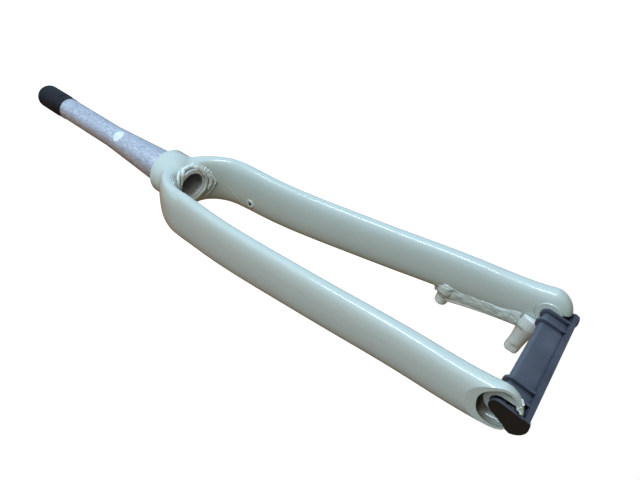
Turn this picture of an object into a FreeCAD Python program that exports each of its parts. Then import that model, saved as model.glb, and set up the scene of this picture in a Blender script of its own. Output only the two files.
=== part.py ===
"""Rigid bicycle fork: tapered steerer, forged crown, hollow blades with hooded dropouts and disc post mounts.

Frame: millimetres, +Z up the steerer, +Y forward, +X to the rider's right. The origin is the centre
of the shoulder that the lower bearing's crown race sits on.
"""
import FreeCAD, Part
import math
import os
import Sketcher

Vector = FreeCAD.Vector

doc = FreeCAD.newDocument("RigidFork")
sheet = doc.addObject("Spreadsheet::Sheet", "Sizes")

# Driving dimensions in millimetres and degrees
SIZES = (
    # steerer: a 28.6 mm tube that swells to a 39.8 mm seat for the crown race
    ("steerer_radius", 14.3),
    ("steerer_base_radius", 19.6),
    ("race_seat_radius", 19.9),
    ("race_seat_height", 8.0),
    ("taper_bottom", 14.5),
    ("taper_top", 107.0),
    ("steerer_top", 259.0),
    ("steerer_wall", 1.9),
    ("steerer_base_wall", 4.5),
    ("steerer_bottom", -41.0),
    ("vent_radius", 2.6),
    ("vent_height", -25.0),
    ("vent_reach", 29.0),
    # transport cap on the steerer
    ("cap_rim", 208.0),
    ("cap_skirt_length", 12.0),
    ("cap_skirt_wall", 0.5),
    ("cap_wall", 1.2),
    ("cap_crown_wall", 4.0),
    ("cap_round", 4.5),
    ("cap_clearance", 0.1),
    # crown
    ("collar_radius", 26.8),
    ("collar_chamfer", 0.8),
    ("collar_shoulder", -12.0),
    ("collar_foot", -32.0),
    ("collar_foot_radius", 20.2),
    ("collar_blend", 12.0),
    ("arch_top", -21.0),
    ("arch_rise_over_ridge", 9.2),
    ("arch_drop_under_ridge", 20.0),
    ("arch_half_depth", 27.4),
    ("arch_squareness", 3.6),
    ("arch_swell", 5.0),
    ("arch_setback", 6.0),
    ("steerer_fit", 0.05),
    # blades
    ("joint_height", -80.0),
    ("joint_offset", 43.8),
    ("blade_half_thickness", 9.3),
    ("blade_half_depth", 28.8),
    ("blade_squareness", 2.5),
    ("blade_wall", 2.0),
    ("blade_waist", 0.7),
    ("bend_height", -141.0),
    ("bend_softness", 40.0),
    ("tip_half_thickness", 9.3),
    ("tip_half_depth", 20.0),
    ("tip_length", 15.8),
    # axle and dropouts
    ("axle_height", -419.2),
    ("rake", 40.4),
    ("over_locknut", 100.0),
    ("boss_radius", 10.8),
    ("boss_rise", 0.4),
    ("boss_chamfer", 0.5),
    ("slot_half_width", 4.7),
    ("slot_recess_half_width", 6.8),
    ("slot_recess_depth", 4.0),
    ("foot_trim", 14.4),
    ("dropout_back", 8.0),
    ("dropout_round", 11.0),
    ("dropout_flare", 13.2),
    ("dropout_fit", 0.1),
    ("dropout_bead", 1.7),
    ("dropout_bead_width", 2.8),
    ("dropout_bead_round", 1.2),
    ("dropout_bead_margin", 0.6),
    ("dropout_bead_reach", 15.0),
    ("dropout_bead_drop", 4.0),
    ("scoop_cut", 5.5),
    ("scoop_angle", 12.1),
    ("scoop_turn", 3.7),
    # brake posts on the left blade
    ("post_spacing", 74.2),
    ("post_tilt", 5.6),
    ("post_offset", 55.0),
    ("lower_post_back", -18.3),
    ("lower_post_height", -407.4),
    ("post_radius", 7.0),
    ("post_land", 9.0),
    ("post_root_radius", 10.5),
    ("upper_post_radius", 6.3),
    ("upper_post_land", 4.0),
    ("upper_post_root_radius", 8.5),
    ("post_edge", 0.5),
    ("post_thread_radius", 2.5),
    ("post_thread_depth", 13.0),
    ("post_flat", 5.4),
    ("post_flat_length", 11.0),
    ("web_half_thickness", 5.4),
    ("web_upper_stand", 13.0),
    ("web_lower_stand", 6.0),
    ("web_round", 3.0),
    # threaded insert on the inner face of the left blade
    ("insert_height", -97.0),
    ("insert_back", -13.0),
    ("insert_flange_radius", 4.0),
    ("insert_flange", 1.0),
    ("insert_barrel_radius", 3.4),
    ("insert_length", 9.0),
    ("insert_thread_radius", 2.1),
    ("insert_fit", 0.05),
    # weld bead round the foot of the steerer
    ("bead_width", 4.8),
    ("bead_height", 4.2),
    ("bead_lap", 2.6),
    # transport spacer between the dropouts
    ("spacer_tilt", 19.0),
    ("spacer_taper", 11.5),
    ("spacer_nose", 3.4),
    ("spacer_rib_rise", 2.7),
    ("spacer_rib_width", 2.2),
    ("spacer_rib_offset", 35.2),
    ("spacer_plate", 4.0),
    ("spacer_plate_front", 10.1),
    ("spacer_wall", 2.2),
    ("spacer_pin_radius", 4.4),
    ("spacer_gap", 0.1),
    ("tongue_width", 2.3),
    ("tongue_offset", 62.2),
    ("tongue_nose", 6.1),
    ("tongue_belly", 4.5),
    ("tongue_clearance", 0.8),
)
for row, (alias, number) in enumerate(SIZES, start=1):
    sheet.set("A%d" % row, alias)
    sheet.set("B%d" % row, str(number))
    sheet.setAlias("B%d" % row, alias)
doc.recompute()


def size(alias):
    """A driving dimension, read from the sheet."""
    return float(sheet.get(alias))


def bound(kind, name, links):
    """A feature of the document whose properties follow the sheet."""
    feature = doc.addObject(kind, name)
    for path, formula in links.items():
        feature.setExpression(path, formula)
    return feature


def fixed(name, shape):
    """A feature that carries a shape worked out from the sheet's sizes."""
    feature = doc.addObject("Part::Feature", name)
    feature.Shape = shape
    return feature


def joined(name, *pieces):
    """One solid made of several overlapping or touching ones."""
    feature = doc.addObject("Part::MultiFuse", name)
    feature.Shapes = list(pieces)
    feature.Refine = True
    return feature


def cut(name, base, tool):
    """A solid with another one taken away."""
    feature = doc.addObject("Part::Cut", name)
    feature.Base = base
    feature.Tool = tool
    feature.Refine = True
    return feature


def common(name, base, tool):
    """What two solids have in common."""
    feature = doc.addObject("Part::Common", name)
    feature.Base = base
    feature.Tool = tool
    feature.Refine = True
    return feature


def mirrored(name, source):
    """The other side's copy of a piece, across the wheel plane."""
    feature = doc.addObject("Part::Mirroring", name)
    feature.Source = source
    feature.Normal = Vector(1, 0, 0)
    return feature


def plane_of(body, role):
    """One of a body's own origin planes."""
    return next(item for item in body.Origin.OriginFeatures if item.Role == role)


def corner_sketch(body, name, role, corners):
    """A closed sketch whose corners are held by pairs of formulas; "0" puts a corner on an axis."""
    sketch = body.newObject("Sketcher::SketchObject", name)
    sketch.AttachmentSupport = [(plane_of(body, role), "")]
    sketch.MapMode = "FlatFace"
    count = len(corners)
    for index in range(count):
        start = Vector(10 + index, 3 * index, 0)
        finish = Vector(11 + index, 3 * index + 3, 0)
        sketch.addGeometry(Part.LineSegment(start, finish), False)
    for index in range(count):
        following = (index + 1) % count
        sketch.addConstraint(Sketcher.Constraint("Coincident", index, 2, following, 1))
    for index, (across, up) in enumerate(corners):
        for direction, axis, formula in (("DistanceX", -2, across), ("DistanceY", -1, up)):
            if formula == "0":
                sketch.addConstraint(Sketcher.Constraint("PointOnObject", index, 1, axis))
            else:
                place = sketch.addConstraint(
                    Sketcher.Constraint(direction, -1, 1, index, 1, 1.0 + index))
                sketch.setExpression("Constraints[%d]" % place, formula)
    return sketch


def turned(name, corners):
    """A body turned about the steerer axis from corners given as radius and height formulas."""
    body = doc.addObject("PartDesign::Body", name)
    sketch = corner_sketch(body, name + "Profile", "XZ_Plane", corners)
    revolution = body.newObject("PartDesign::Revolution", name + "Turned")
    revolution.Profile = sketch
    revolution.ReferenceAxis = (sketch, ["V_Axis"])
    revolution.Angle = 360
    sketch.Visibility = False
    return body


# Steerer: one drawn tube, butted inside, with a turned seat for the crown race and a vent to each arm
steerer_body = turned("SteererBody", (
    ("Sizes.steerer_base_radius", "Sizes.steerer_bottom"),
    ("Sizes.steerer_base_radius", "0"),
    ("Sizes.race_seat_radius", "0"),
    ("Sizes.race_seat_radius", "Sizes.race_seat_height"),
    ("Sizes.steerer_base_radius", "Sizes.race_seat_height + 0.3"),
    ("Sizes.steerer_base_radius", "Sizes.taper_bottom"),
    ("Sizes.steerer_radius", "Sizes.taper_top"),
    ("Sizes.steerer_radius", "Sizes.steerer_top"),
    ("Sizes.steerer_radius - Sizes.steerer_wall", "Sizes.steerer_top"),
    ("Sizes.steerer_radius - Sizes.steerer_wall", "Sizes.taper_top"),
    ("Sizes.steerer_base_radius - Sizes.steerer_base_wall", "Sizes.taper_bottom"),
    ("Sizes.steerer_base_radius - Sizes.steerer_base_wall", "Sizes.steerer_bottom"),
))
vents = bound("Part::Cylinder", "Vents", {
    "Radius": "Sizes.vent_radius",
    "Height": "2 * Sizes.vent_reach",
    "Placement.Base.x": "-Sizes.vent_reach",
    "Placement.Base.z": "Sizes.vent_height",
})
vents.Placement.Rotation = FreeCAD.Rotation(Vector(0, 1, 0), 90)
steerer_tube = cut("SteererTube", steerer_body, vents)

# Transport cap: a closed rubber thimble with a thin skirt, pushed over the steerer's cut end
cap_bore = "Sizes.steerer_radius + Sizes.cap_clearance"
cap_body = turned("CapBody", (
    (cap_bore, "Sizes.cap_rim"),
    (cap_bore + " + Sizes.cap_skirt_wall", "Sizes.cap_rim"),
    (cap_bore + " + Sizes.cap_skirt_wall", "Sizes.cap_rim + Sizes.cap_skirt_length"),
    (cap_bore + " + Sizes.cap_wall", "Sizes.cap_rim + Sizes.cap_skirt_length + 2"),
    (cap_bore + " + Sizes.cap_wall", "Sizes.steerer_top + Sizes.cap_crown_wall"),
    ("0", "Sizes.steerer_top + Sizes.cap_crown_wall"),
    ("0", "Sizes.steerer_top"),
    (cap_bore, "Sizes.steerer_top"),
))
doc.recompute()
cap_end = size("steerer_top") + size("cap_crown_wall")
steerer_cap = fixed("SteererCap", cap_body.Shape.makeFillet(size("cap_round"), [
    edge for edge in cap_body.Shape.Edges
    if edge.Closed and all(abs(point.z - cap_end) < 0.01 for point in edge.discretize(9))]))


def half_oval(outer, inner, half_depth, squareness, sign):
    """Points of half a superellipse, from its outer flat side over the edge to its inner one."""
    points = []
    for step in range(SECTION_STEPS + 1):
        angle = math.pi * step / SECTION_STEPS
        thickness = outer if math.cos(angle) > 0 else inner
        across = abs(math.cos(angle)) ** (2 / squareness) * thickness
        depth = abs(math.sin(angle)) ** (2 / squareness) * half_depth
        points.append((math.copysign(across, math.cos(angle)), sign * depth))
    return points


def oval_edge(half, centre, across, along):
    """A smooth edge through a half oval, square to its flat sides where it starts and ends."""
    points = [centre + across * u + along * v for u, v in half]
    sign = 1 if half[SECTION_STEPS // 2][1] > 0 else -1
    curve = Part.BSplineCurve()
    curve.interpolate(Points=points, InitialTangent=along * sign, FinalTangent=along * -sign)
    return curve.toShape()


def section(outer, inner, half_depth, squareness, centre, across, along):
    """Closed wire of a blade or crown section, made of its front and rear halves."""
    front = oval_edge(half_oval(outer, inner, half_depth, squareness, 1), centre, across, along)
    rear = oval_edge(half_oval(outer, inner, half_depth, squareness, -1), centre, across, along)
    return Part.Wire([front, rear])


def lofted(name, wires):
    """A smooth solid through a row of section wires."""
    feature = doc.addObject("Part::Loft", name)
    feature.Sections = [fixed("%sSection%d" % (name, index), wire)
                        for index, wire in enumerate(wires)]
    feature.Solid = True
    return feature


SECTION_STEPS = 16
SEAM = 1e-4
ACROSS = Vector(1, 0, 0)
FORWARD = Vector(0, 1, 0)
UP = Vector(0, 0, 1)

# Crown: one forging, an arch that swells into a collar round the steerer
arch_rise = size("arch_top") - size("joint_height")


def arch_section(angle):
    """Section of the arch, at an angle from the steerer axis that is 90 degrees at a blade."""
    sine = math.sin(angle)
    cosine = math.cos(angle)
    centre = Vector(size("joint_offset") * sine, -size("arch_setback") * abs(cosine) ** 1.25,
                    size("joint_height") + arch_rise * cosine)
    outward = Vector(arch_rise * sine, 0, size("joint_offset") * cosine).normalize()
    swell = abs(cosine) ** size("arch_swell")
    outer = size("blade_half_thickness") * (1 - swell) + size("arch_rise_over_ridge") * swell
    inner = size("blade_half_thickness") * (1 - swell) + size("arch_drop_under_ridge") * swell
    spread = cosine ** 2
    half_depth = size("blade_half_depth") * (1 - spread) + size("arch_half_depth") * spread
    squareness = size("blade_squareness") * (1 - swell) + size("arch_squareness") * swell
    return section(outer, inner, half_depth, squareness, centre, outward, FORWARD)


ARCH_STATIONS = 12
arch = lofted("Arch", [arch_section(math.pi * (step / ARCH_STATIONS - 0.5))
                       for step in range(ARCH_STATIONS + 1)])
# The collar's wall stands straight down to its shoulder and then curves in to meet the arch's front
collar_drop = size("collar_shoulder") - size("collar_foot")
collar_draw = size("collar_radius") - size("collar_foot_radius")
collar_bow = (collar_drop ** 2 + collar_draw ** 2) / (2 * collar_draw)
collar_turn = math.asin(collar_drop / collar_bow) / 2
collar_waist = Vector(size("collar_radius") - collar_bow * (1 - math.cos(collar_turn)), 0,
                      size("collar_shoulder") - collar_bow * math.sin(collar_turn))
collar_rim = ACROSS * size("collar_radius")
shoulder_rim = collar_rim + UP * size("collar_shoulder")
foot_rim = Vector(size("collar_foot_radius"), 0, size("collar_foot"))
foot_centre = UP * size("collar_foot")
collar_wall = Part.Wire([
    Part.makeLine(foot_centre, Vector(0, 0, 0)),
    Part.makeLine(Vector(0, 0, 0), collar_rim),
    Part.makeLine(collar_rim, shoulder_rim),
    Part.Arc(shoulder_rim, collar_waist, foot_rim).toShape(),
    Part.makeLine(foot_rim, foot_centre),
])
collar = fixed("Collar", Part.Face(collar_wall).revolve(Vector(0, 0, 0), UP, 360))
crown_blank = joined("CrownBlank", arch, collar)
crown_bore = bound("Part::Cylinder", "CrownBore", {
    "Radius": "Sizes.steerer_base_radius + Sizes.steerer_fit",
    "Height": "-2 * Sizes.joint_height",
    "Placement.Base.z": "Sizes.joint_height",
})


# Blades: hydroformed tubes, deep and thin, straight below the crown and then raked to the axle


def bend(height):
    """How far the centre line has turned forward at a height, for a rake of one in one."""
    below = size("bend_height") - height
    return (below + math.hypot(below, size("bend_softness"))) / 2


bend_start = bend(size("joint_height"))
rake_slope = size("rake") / (bend(size("axle_height")) - bend_start)
AXLE = Vector(size("over_locknut") / 2 + size("boss_rise") + size("tip_half_thickness"),
              size("rake"), size("axle_height"))


def blade_centre(height):
    """Centre of the blade's section at a height."""
    run = (size("joint_height") - height) / (size("joint_height") - size("axle_height"))
    offset = size("joint_offset") + (AXLE.x - size("joint_offset")) * run
    return Vector(offset, rake_slope * (bend(height) - bend_start), height), run


def blade_halves(run):
    """Half thickness and half depth of the blade, at a share of the way down to the axle."""
    waist = size("blade_waist") * 4 * run * (1 - run)
    thickness = size("blade_half_thickness") * (1 - run) + size("tip_half_thickness") * run - waist
    depth = size("blade_half_depth") * (1 - run) + size("tip_half_depth") * run
    return thickness, depth


def blade_section(height, inset, tilt=0.0):
    """Section of the blade at a height, drawn in by an inset for the hollow."""
    centre, run = blade_centre(height)
    thickness, depth = blade_halves(run)
    along = Vector(0, math.cos(tilt), math.sin(tilt))
    half = thickness - inset
    return section(half, half, depth - inset, size("blade_squareness"), centre, ACROSS, along)


TIP_TILT = math.atan(rake_slope)
BLADE_STATIONS = (0.0, 0.11, 0.2, 0.3, 0.42, 0.6, 0.8)


def blade_solid(name, inset, top):
    """A blade's outer form, or its hollow, from the joint down to its round end."""
    span = size("axle_height") - size("joint_height")
    heights = [size("joint_height") + top] + [size("joint_height") + span * share
                                              for share in BLADE_STATIONS[1:]]
    wires = [blade_section(height, inset) for height in heights]
    wires.append(blade_section(size("axle_height"), inset, TIP_TILT))
    body = lofted(name + "Body", wires)
    tip = size("tip_half_thickness") - inset
    half = half_oval(tip, tip, size("tip_half_depth") - inset, size("blade_squareness"), 1)
    rim = oval_edge(half, Vector(0, 0, 0), ACROSS, FORWARD)
    chord = Part.makeLine(rim.lastVertex().Point, rim.firstVertex().Point)
    bowl = Part.Face(Part.Wire([rim, chord])).revolve(Vector(0, 0, 0), Vector(-1, 0, 0), 180)
    squash = FreeCAD.Matrix()
    squash.scale(1, 1, (size("tip_length") - inset) / (size("tip_half_depth") - inset))
    bowl = bowl.transformGeometry(squash)
    bowl.fix(SEAM, SEAM, 10 * SEAM)
    bowl.Placement = FreeCAD.Placement(AXLE, FreeCAD.Rotation(ACROSS, math.degrees(TIP_TILT)))
    end = fixed(name + "End", bowl)
    return joined(name, body, end)


blade_outer = blade_solid("BladeOuter", 0.0, 0.0)
blade_hollow = blade_solid("BladeHollow", size("blade_wall"), 2.0)
doc.recompute()


def edges_between(shape, test):
    """Edges of a shape whose sampled points all pass a test."""
    return [edge for edge in shape.Edges if all(test(point) for point in edge.discretize(9))]


def rolled(name, source, radius, test):
    """A solid with a rolling-ball blend along the edges that pass a test."""
    shape = source.Shape
    return fixed(name, shape.makeFillet(radius, edges_between(shape, test)))


def on_collar_seam(point):
    """True where the collar's wall runs into the arch."""
    return all(piece.Shape.distToShape(Part.Vertex(point))[0] < 0.05 for piece in (arch, collar))


crown_blend = rolled("CrownBlend", crown_blank, size("collar_blend"), on_collar_seam)
crown_rim = fixed("CrownRim", crown_blend.Shape.makeChamfer(
    size("collar_chamfer"), edges_between(crown_blend.Shape, lambda point: abs(point.z) < 0.01)))
crown_bored = cut("CrownBored", crown_rim, crown_bore)
crown = cut("Crown", crown_bored, vents)

# The transport spacer leans back from the slots, and the blades' feet are trimmed square to it
spacer_turn = math.radians(size("spacer_tilt"))
spacer_flank = math.radians(size("spacer_taper"))


def spacer_spot(across, forward, down):
    """A point in the spacer's own directions: across the wheel, forward and down from the axle."""
    return AXLE + Vector(across - AXLE.x,
                         forward * math.cos(spacer_turn) - down * math.sin(spacer_turn),
                         -forward * math.sin(spacer_turn) - down * math.cos(spacer_turn))


def flank(nose, down):
    """How far forward the spacer's flank lies at a depth, for a nose radius."""
    tangent = nose * math.sin(spacer_flank)
    return nose * math.cos(spacer_flank) + (down + tangent) * math.tan(spacer_flank)


def nosed_prism(nose, start, finish, depth, belly=0.0):
    """A prism along X with a round nose, flanks that widen downwards, and a flat or bellied foot."""
    brow = nose * math.sin(spacer_flank)
    temple = nose * math.cos(spacer_flank)
    front = spacer_spot(start, temple, -brow)
    rear = spacer_spot(start, -temple, -brow)
    front_foot = spacer_spot(start, flank(nose, depth), depth)
    rear_foot = spacer_spot(start, -flank(nose, depth), depth)
    edges = [Part.Arc(rear, spacer_spot(start, 0, -nose), front).toShape(),
             Part.makeLine(front, front_foot)]
    if belly:
        edges.append(Part.Arc(front_foot, spacer_spot(start, 0, depth + belly), rear_foot).toShape())
    else:
        edges.append(Part.makeLine(front_foot, rear_foot))
    edges.append(Part.makeLine(rear_foot, rear))
    return Part.Face(Part.Wire(edges)).extrude(ACROSS * (finish - start))


def flat_prism(start, finish, corners):
    """A prism along X from corners given as forward and downward distances in the spacer."""
    points = [spacer_spot(start, forward, down) for forward, down in corners]
    return Part.Face(Part.makePolygon(points + [points[0]])).extrude(ACROSS * (finish - start))


# Dropouts: flat forgings inside the blades' feet, with a round boss that stands through the inner wall
boss_face = size("over_locknut") / 2
plate_face = boss_face + size("dropout_back")


def lying_cylinder(name, radius, start, finish):
    """A cylinder along X through the axle, between two distances from the wheel plane."""
    shape = Part.makeCylinder(radius, finish - start, Vector(start, AXLE.y, AXLE.z), ACROSS)
    return fixed(name, shape)


def axle_prism(start, finish, outline):
    """A prism along X whose outline is given as forward and upward distances from the axle."""
    points = [AXLE + Vector(start - AXLE.x, forward, up) for forward, up in outline]
    face = Part.Face(Part.makePolygon(points + [points[0]]))
    return face.extrude(ACROSS * (finish - start))


slot = size("slot_half_width")
reach = size("tip_half_depth") + 5
plate_round = lying_cylinder("PlateRound", size("dropout_round"), boss_face, plate_face)
plate_foot = fixed("PlateFoot", axle_prism(boss_face, plate_face, (
    (-size("dropout_round"), 0), (size("dropout_round"), 0),
    (size("dropout_flare"), -size("dropout_flare")), (size("dropout_flare"), -reach),
    (-size("dropout_flare"), -reach), (-size("dropout_flare"), -size("dropout_flare")))))
plate_blank = joined("PlateBlank", plate_round, plate_foot)
plate_room = blade_solid("PlateRoom", size("blade_wall") + size("dropout_fit"), 2.0)
plate_seated = common("PlateSeated", plate_blank, plate_room)
boss_blank = lying_cylinder("BossBlank", size("boss_radius"), boss_face,
                            boss_face + size("boss_rise") + size("blade_wall") + 2)
boss = fixed("Boss", boss_blank.Shape.makeChamfer(size("boss_chamfer"), edges_between(
    boss_blank.Shape, lambda point: abs(point.x - boss_face) < 0.01)))
plate_bossed = joined("PlateBossed", plate_seated, boss)
slot_round = lying_cylinder("SlotRound", slot, boss_face - 2, plate_face + 20)
slot_mouth = fixed("SlotMouth", axle_prism(boss_face - 2, plate_face + 20, (
    (-slot, 0), (slot, 0), (slot, -reach), (-slot, -reach))))
axle_slot = joined("AxleSlot", slot_round, slot_mouth)
recess = size("slot_recess_half_width")
recess_floor = boss_face + size("slot_recess_depth")
recess_round = lying_cylinder("RecessRound", recess, recess_floor, plate_face + 20)
recess_mouth = fixed("RecessMouth", axle_prism(recess_floor, plate_face + 20, (
    (-recess, 0), (recess, 0), (recess, -reach), (-recess, -reach))))
foot_trim = fixed("FootTrim", flat_prism(boss_face - 10, plate_face + 30, (
    (-2 * reach, size("foot_trim")), (2 * reach, size("foot_trim")),
    (2 * reach, 3 * reach), (-2 * reach, 3 * reach))))
dropout_openings = joined("DropoutOpenings", axle_slot, recess_round, recess_mouth, foot_trim)
right_dropout = cut("RightDropout", plate_bossed, dropout_openings)
left_dropout = mirrored("LeftDropout", right_dropout)

# Right blade: hollow, its foot cut open on the outside by a slanting scoop, its rim notched for the tongue
outer_face = AXLE.x + size("tip_half_thickness")
bead_face = plate_face + size("dropout_bead")
tongue_inner = size("tongue_offset") - size("tongue_width")
scoop_normal = Vector(1, math.tan(math.radians(size("scoop_turn"))),
                      -math.tan(math.radians(size("scoop_angle"))))
scoop_block = Part.makeBox(2 * reach, 6 * reach, 6 * reach, Vector(0, -3 * reach, -3 * reach))
scoop_block.Placement = FreeCAD.Placement(
    Vector(outer_face - size("scoop_cut"), AXLE.y, AXLE.z), FreeCAD.Rotation(ACROSS, scoop_normal))
scoop = fixed("Scoop", scoop_block)
tongue_notch = fixed("TongueNotch", nosed_prism(
    size("tongue_nose") + size("tongue_clearance"), bead_face, outer_face + reach, 2 * reach))
blade_tube = cut("BladeTube", blade_outer, blade_hollow)
boss_window = lying_cylinder("BossWindow", size("boss_radius") + size("dropout_fit"),
                             boss_face - 2, boss_face + size("boss_rise") + size("blade_wall") + 3)
blade_openings = joined("BladeOpenings", boss_window, axle_slot)
blade_slotted = cut("BladeSlotted", blade_tube, blade_openings)
foot_openings = joined("FootOpenings", scoop, tongue_notch, foot_trim)
right_leg = cut("RightLeg", blade_slotted, foot_openings)
doc.recompute()


# Fillet welds between a dropout's outer face and its blade's inner wall, one on each side of the slot
bead_core = blade_solid("BeadCore", size("blade_wall") + size("dropout_fit") + size("dropout_bead_width"), 2.0)


def dropout_weld(name, side):
    """The bead in front of the slot (side 1) or behind it (side -1)."""
    near = side * (slot + size("dropout_bead_margin"))
    far = side * size("dropout_bead_reach")
    block = fixed(name + "Block", axle_prism(plate_face, bead_face, (
        (near, -size("dropout_bead_drop")), (far, -size("dropout_bead_drop")), (far, -reach),
        (near, -reach))))
    trimmed = cut(name + "Trimmed", block, foot_trim)
    seated = common(name + "Seated", trimmed, plate_room)
    bead = cut(name + "Bead", seated, bead_core)
    doc.recompute()
    crest = [edge for edge in bead.Shape.Edges
             if all(abs(point.x - bead_face) < 0.01 for point in edge.discretize(5))]
    inner = min((edge for edge in crest if edge.Length > size("dropout_bead_width") * 1.5),
                key=lambda edge: edge.discretize(3)[1].distanceToPoint(Vector(bead_face, AXLE.y, AXLE.z)))
    return fixed(name, bead.Shape.makeFillet(size("dropout_bead_round"), [inner]))


right_front_weld = dropout_weld("RightFrontWeld", 1)
right_rear_weld = dropout_weld("RightRearWeld", -1)
left_front_weld = mirrored("LeftFrontWeld", right_front_weld)
left_rear_weld = mirrored("LeftRearWeld", right_rear_weld)


# Brake posts on the left blade: a long lower post, and a short upper one with a web between them
post_tilt = math.radians(size("post_tilt"))
post_out = Vector(0, -math.cos(post_tilt), math.sin(post_tilt))
post_up = Vector(0, math.sin(post_tilt), math.cos(post_tilt))
lower_face = Vector(-size("post_offset"), size("lower_post_back"), size("lower_post_height"))
upper_face = lower_face + post_up * size("post_spacing")
left_form = mirrored("LeftForm", blade_outer)
POST_BURIED = 12.0


def blade_back(height):
    """How far forward the rear edge of a blade lies at a height."""
    centre, run = blade_centre(height)
    return centre.y - blade_halves(run)[1]


def post_blank(name, face, radius, land, root_radius):
    """A turned post from its machined face into the blade, flaring in an arc to its root."""
    edge = size("post_edge")
    root = (blade_back(face.z) - face.y) / math.cos(post_tilt)
    half_turn = math.atan((root_radius - radius) / (root - land))
    sweep_radius = (root - land) / math.sin(2 * half_turn)
    middle = Vector(radius + sweep_radius * (1 - math.cos(half_turn)), 0,
                    land + sweep_radius * math.sin(half_turn))
    corners = [Vector(root_radius, 0, root), Vector(root_radius, 0, root + POST_BURIED),
               Vector(0, 0, root + POST_BURIED), Vector(0, 0, 0), Vector(radius - edge, 0, 0),
               Vector(radius, 0, edge), Vector(radius, 0, land)]
    edges = [Part.makeLine(start, finish) for start, finish in zip(corners, corners[1:])]
    edges.append(Part.Arc(corners[-1], middle, corners[0]).toShape())
    post = Part.Face(Part.Wire(edges)).revolve(Vector(0, 0, 0), UP, 360)
    post.Placement = FreeCAD.Placement(face, FreeCAD.Rotation(UP, post_out * -1))
    return fixed(name, post)


def thread_hole(face):
    """The tapped hole of a post, opening at its face."""
    depth = size("post_thread_depth")
    return Part.makeCylinder(size("post_thread_radius"), depth, face, post_out * -1)


lower_blank = post_blank("LowerPostBlank", lower_face, size("post_radius"), size("post_land"),
                         size("post_root_radius"))
upper_blank = post_blank("UpperPostBlank", upper_face, size("upper_post_radius"),
                         size("upper_post_land"), size("upper_post_root_radius"))
flat_length = size("post_flat_length")
flat_box = Part.makeBox(flat_length, 2 * flat_length, 4 * flat_length,
                        Vector(size("post_flat"), -flat_length, -2 * flat_length))
flat_box.Placement = FreeCAD.Placement(lower_face, FreeCAD.Rotation(ACROSS, -size("post_tilt")))
lower_hole = fixed("LowerPostHole", thread_hole(lower_face).fuse(flat_box))
lower_round = cut("LowerPostRound", lower_blank, left_form)
brake_lower_post = cut("BrakeLowerPost", lower_round, lower_hole)

WEB_SHARES = (0.0, 0.2, 0.45, 0.75, 1.0)


def web_point(share):
    """A point of the web's rear edge, at a share of the way from the upper post to the lower."""
    height = upper_face.z + (lower_face.z - upper_face.z) * share
    lower_stand = size("web_lower_stand")
    stand = lower_stand + (size("web_upper_stand") - lower_stand) * (1 - share) ** 2
    return Vector(0, blade_back(height) - stand, height)


web_line = [web_point(share) for share in WEB_SHARES]
web_edge = Part.BSplineCurve()
web_edge.interpolate(web_line)
web_in = 12.0
web_top = Vector(0, blade_back(upper_face.z) + web_in, upper_face.z)
web_foot = Vector(0, blade_back(lower_face.z) + web_in, lower_face.z)
web_wire = Part.Wire([web_edge.toShape(), Part.makeLine(web_line[-1], web_foot),
                      Part.makeLine(web_foot, web_top), Part.makeLine(web_top, web_line[0])])
web_solid = Part.Face(web_wire).extrude(ACROSS * 2 * size("web_half_thickness"))
web_solid.translate(ACROSS * (-size("post_offset") - size("web_half_thickness")))
web_back = [edge for edge in web_solid.Edges if isinstance(edge.Curve, Part.BSplineCurve)]
web = fixed("Web", web_solid.makeFillet(size("web_round"), web_back))
bracket_blank = joined("BracketBlank", web, upper_blank)
bracket_seat = joined("BracketSeat", left_form, lower_blank)
bracket_seated = cut("BracketSeated", bracket_blank, bracket_seat)
upper_hole = fixed("UpperPostHole", thread_hole(upper_face))
brake_upper_post = cut("BrakeUpperPost", bracket_seated, upper_hole)

# Threaded insert: a blind rivet nut in the inner wall of the left blade, laid out on the right and mirrored
insert_centre, insert_run = blade_centre(size("insert_height"))
insert_thickness, insert_depth = blade_halves(insert_run)
insert_share = abs(size("insert_back") - insert_centre.y) / insert_depth
squareness = size("blade_squareness")
insert_inset = insert_thickness * (1 - insert_share ** squareness) ** (1 / squareness)
insert_seat = Vector(insert_centre.x - insert_inset + size("insert_flange") / 2, size("insert_back"),
                     size("insert_height"))
INWARD = ACROSS * -1
insert_reach = 4 * size("insert_flange")
flange = Part.makeCylinder(size("insert_flange_radius"), size("insert_flange"), insert_seat, INWARD)
barrel = Part.makeCylinder(size("insert_barrel_radius"), size("insert_length"), insert_seat, ACROSS)
thread = Part.makeCylinder(size("insert_thread_radius"), size("insert_length") + 2 * insert_reach,
                           insert_seat + INWARD * insert_reach, ACROSS)
insert_form = fixed("InsertForm", flange.fuse(barrel).removeSplitter().cut(thread))
rivet_nut = mirrored("RivetNut", insert_form)
insert_spot = fixed("InsertSpot", Part.makeCylinder(
    size("insert_flange_radius") + size("insert_fit"), insert_reach, insert_seat, INWARD))
insert_hole = fixed("InsertHole", Part.makeCylinder(
    size("insert_barrel_radius") + size("insert_fit"), 2 * insert_reach,
    insert_seat + INWARD * insert_reach, ACROSS))
blade_spotted = cut("BladeSpotted", right_leg, insert_spot)
blade_drilled = cut("BladeDrilled", blade_spotted, insert_hole)
left_leg = mirrored("LeftLeg", blade_drilled)

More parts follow.
